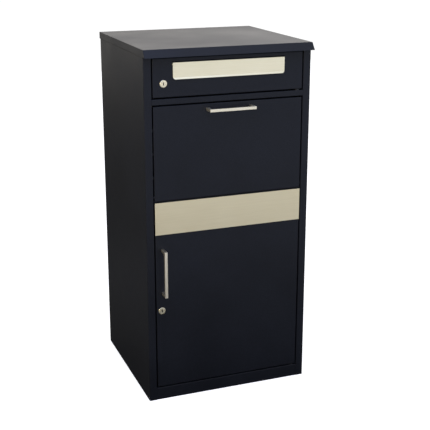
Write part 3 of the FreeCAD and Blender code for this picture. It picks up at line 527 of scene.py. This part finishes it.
def brushed_steel(name, colour, darker, grain, roughness):
    """stainless with a directional grain, whose size along x, y and z is given"""
    metal = bpy.data.materials.new(name)
    metal.use_nodes = True
    tree = metal.node_tree
    tree.nodes.clear()
    where = add(tree, "ShaderNodeTexCoord").outputs["Object"]
    stretched = add(tree, "ShaderNodeMapping", None, {"Scale": [1 / size for size in grain]},
                    {"Vector": where})
    lines = add(tree, "ShaderNodeTexNoise", None, {"Scale": 1.0, "Detail": 4.0, "Roughness": 0.7},
                {"Vector": stretched.outputs[0]})
    patches = add(tree, "ShaderNodeTexNoise", None, {"Scale": 1 / belt_patch, "Detail": 2.0},
                  {"Vector": where})
    mixed = add(tree, "ShaderNodeMath", {"operation": "MULTIPLY_ADD"}, {1: patch_share},
                {0: patches.outputs[0], 2: lines.outputs[0]})
    spread = add(tree, "ShaderNodeMapRange", None, {"From Min": 0.45, "From Max": 0.9},
                 {"Value": mixed.outputs[0]})
    tint = add(tree, "ShaderNodeMix", {"data_type": "RGBA"},
               {"A": linear(darker), "B": linear(colour)}, {"Factor": spread.outputs[0]})
    gloss = add(tree, "ShaderNodeMapRange", None,
                {"From Min": noise_low, "From Max": noise_high,
                 "To Min": roughness - 0.05, "To Max": roughness + 0.07},
                {"Value": lines.outputs[0]})
    scratches = add(tree, "ShaderNodeBump", None, {"Strength": 0.4, "Distance": scratch_depth},
                    {"Height": lines.outputs[0]})
    shader = add(tree, "ShaderNodeBsdfPrincipled", None, {"Metallic": 1.0, "Anisotropic": 0.4},
                 {"Base Color": tint.outputs[2], "Roughness": gloss.outputs[0],
                  "Normal": scratches.outputs[0]})
    add(tree, "ShaderNodeOutputMaterial", None, None, {"Surface": shader.outputs[0]})
    return metal


along_x = (scratch_length, scratch_width, scratch_width)
strip_steel = brushed_steel("brushed_stainless", "#F2E7C4", "#E8DBB5", along_x, 0.46)
finish_as(strip_steel, sheared_edge, "trim_strip")
flap_steel = brushed_steel("brushed_stainless_flap", "#FFF6D6", "#F8EDC7", along_x, 0.42)
finish_as(flap_steel, sheared_edge, "letter_flap")
finish_as(zinc, rod_edge, "letter_flap_rod")
shape = bmesh.new()
for low, high in separate_solids("trim_nuts"):
    foot = Vector(((low.x + high.x) / 2, high.y, (low.z + high.z) / 2))
    turn(shape, foot, (0, -1, 0), small_nut, bored=True)
trim_nuts = make_piece("small_nuts", shape, zinc)
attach(trim_nuts, "collection_door")
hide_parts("trim_nuts")

# ---------------------------------------------------------------- handles
# Square stainless bar, 8 mm, mitred and welded at its corners and dressed with a
# belt, which leaves a satin grain along each bar. Button-head screws with hexagon
# sockets hold them from inside.
along_z = (scratch_width, scratch_width, scratch_length)
across_bar = brushed_steel("satin_bar", "#FFF6DE", "#F4EACD", along_x, 0.36)
finish_as(across_bar, 0, "parcel_handle")
upright_bar = brushed_steel("satin_bar_upright", "#FFF6DE", "#F4EACD", along_z, 0.36)
finish_as(upright_bar, 0, "door_handle")


def socket_screws(name, node, shank, head, head_height, socket):
    """button-head screws, along +y with the head last, in place of a node's; shank, head and
    socket are half widths, in mm like the head's height"""
    shape = bmesh.new()
    for low, high in separate_solids(node):
        length = (high.y - low.y) * 1000
        under = length - head_height
        turn(shape, Vector(((low.x + high.x) / 2, low.y, (low.z + high.z) / 2)), (0, 1, 0), (
            (shank * 0.7, 0.0), (shank, 0.5), (shank, under), (head, under), (head, under + 0.5),
            (head * 0.9, under + head_height * 0.62), (head * 0.66, length - 0.1),
            (head * 0.6, length), (socket, length, "hex"),
            (socket, length - head_height * 0.6, "hex"),
        ))
    return make_piece(name, shape, zinc)


for name, node, body in (
    ("parcel_handle_button_screws", "parcel_handle_screws", "parcel_hopper"),
    ("door_handle_button_screws", "door_handle_screws", "collection_door"),
):
    screws = socket_screws(name, node, shank=2.0, head=4.0, head_height=2.5, socket=1.25)
    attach(screws, body)
    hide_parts(node)

# ---------------------------------------------------------------- locks
# Cam locks: die-cast housings and brass plugs, both nickel plated. A hexagon nut
# holds each from behind, and a zinc-plated cam turns with the plug. Two dark
# spring leaves close the key slot.
nickel = plated("nickel_plate", "#FFF4D2", "#F2E5C0", 0.26)
leaf_depths = (1.0, 1.8)  # mm behind the plug's face
leaf_outline = (  # across and up, mm
    (0.09, -4.05), (1.0, -4.05), (1.2, -3.6), (1.2, 3.6), (1.0, 4.05), (0.09, 4.05),
)
leaf_edge = 0.0001
cast_edge = 0.0002
cam_edge = 0.0003
lock_nut = (
    (8.6, 0.4), (9.0, 0.0), (10.8, 0.0), (11.26, 0.6, "hex"), (11.26, 4.0, "hex"), (8.6, 4.0),
)
finish_as(nickel, cast_edge, "letter_lock_housing", "door_lock_housing",
          "letter_lock_plug", "door_lock_plug")
finish_as(zinc, cam_edge, "letter_lock_cam", "door_lock_cam")
for lock, door in (("letter_lock", "letter_door"), ("door_lock", "collection_door")):
    low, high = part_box(lock + "_nut")
    foot = Vector(((low.x + high.x) / 2, high.y, (low.z + high.z) / 2))
    shape = bmesh.new()
    turn(shape, foot, (0, -1, 0), lock_nut, bored=True)
    nut = make_piece(lock + "_hexagon_nut", shape, zinc)
    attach(nut, door)
    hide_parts(lock + "_nut")

    screw = socket_screws(lock + "_button_screw", lock + "_cam_screw",
                          shank=1.8, head=5.0, head_height=2.5, socket=1.5)
    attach(screw, lock + "_core")
    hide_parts(lock + "_cam_screw")

    low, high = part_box(lock + "_plug")
    middle = Vector(((low.x + high.x) / 2, low.y, (low.z + high.z) / 2))
    shape = bmesh.new()
    for side in (-1, 1):
        rims = []
        for depth in leaf_depths:
            rims.append([shape.verts.new(middle + Vector((side * across, depth, up)) / 1000)
                         for across, up in leaf_outline])
            shape.faces.new(rims[-1])
        near_rim, far_rim = rims
        for i in range(len(leaf_outline)):
            shape.faces.new((near_rim[i - 1], near_rim[i], far_rim[i], far_rim[i - 1]))
    bmesh.ops.recalc_face_normals(shape, faces=shape.faces)
    bmesh.ops.bevel(shape, geom=shape.edges[:], offset=leaf_edge, segments=2, affect="EDGES",
                    profile=0.5)
    leaves = make_piece(lock + "_slot_leaves", shape, pin_steel)
    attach(leaves, lock + "_core")
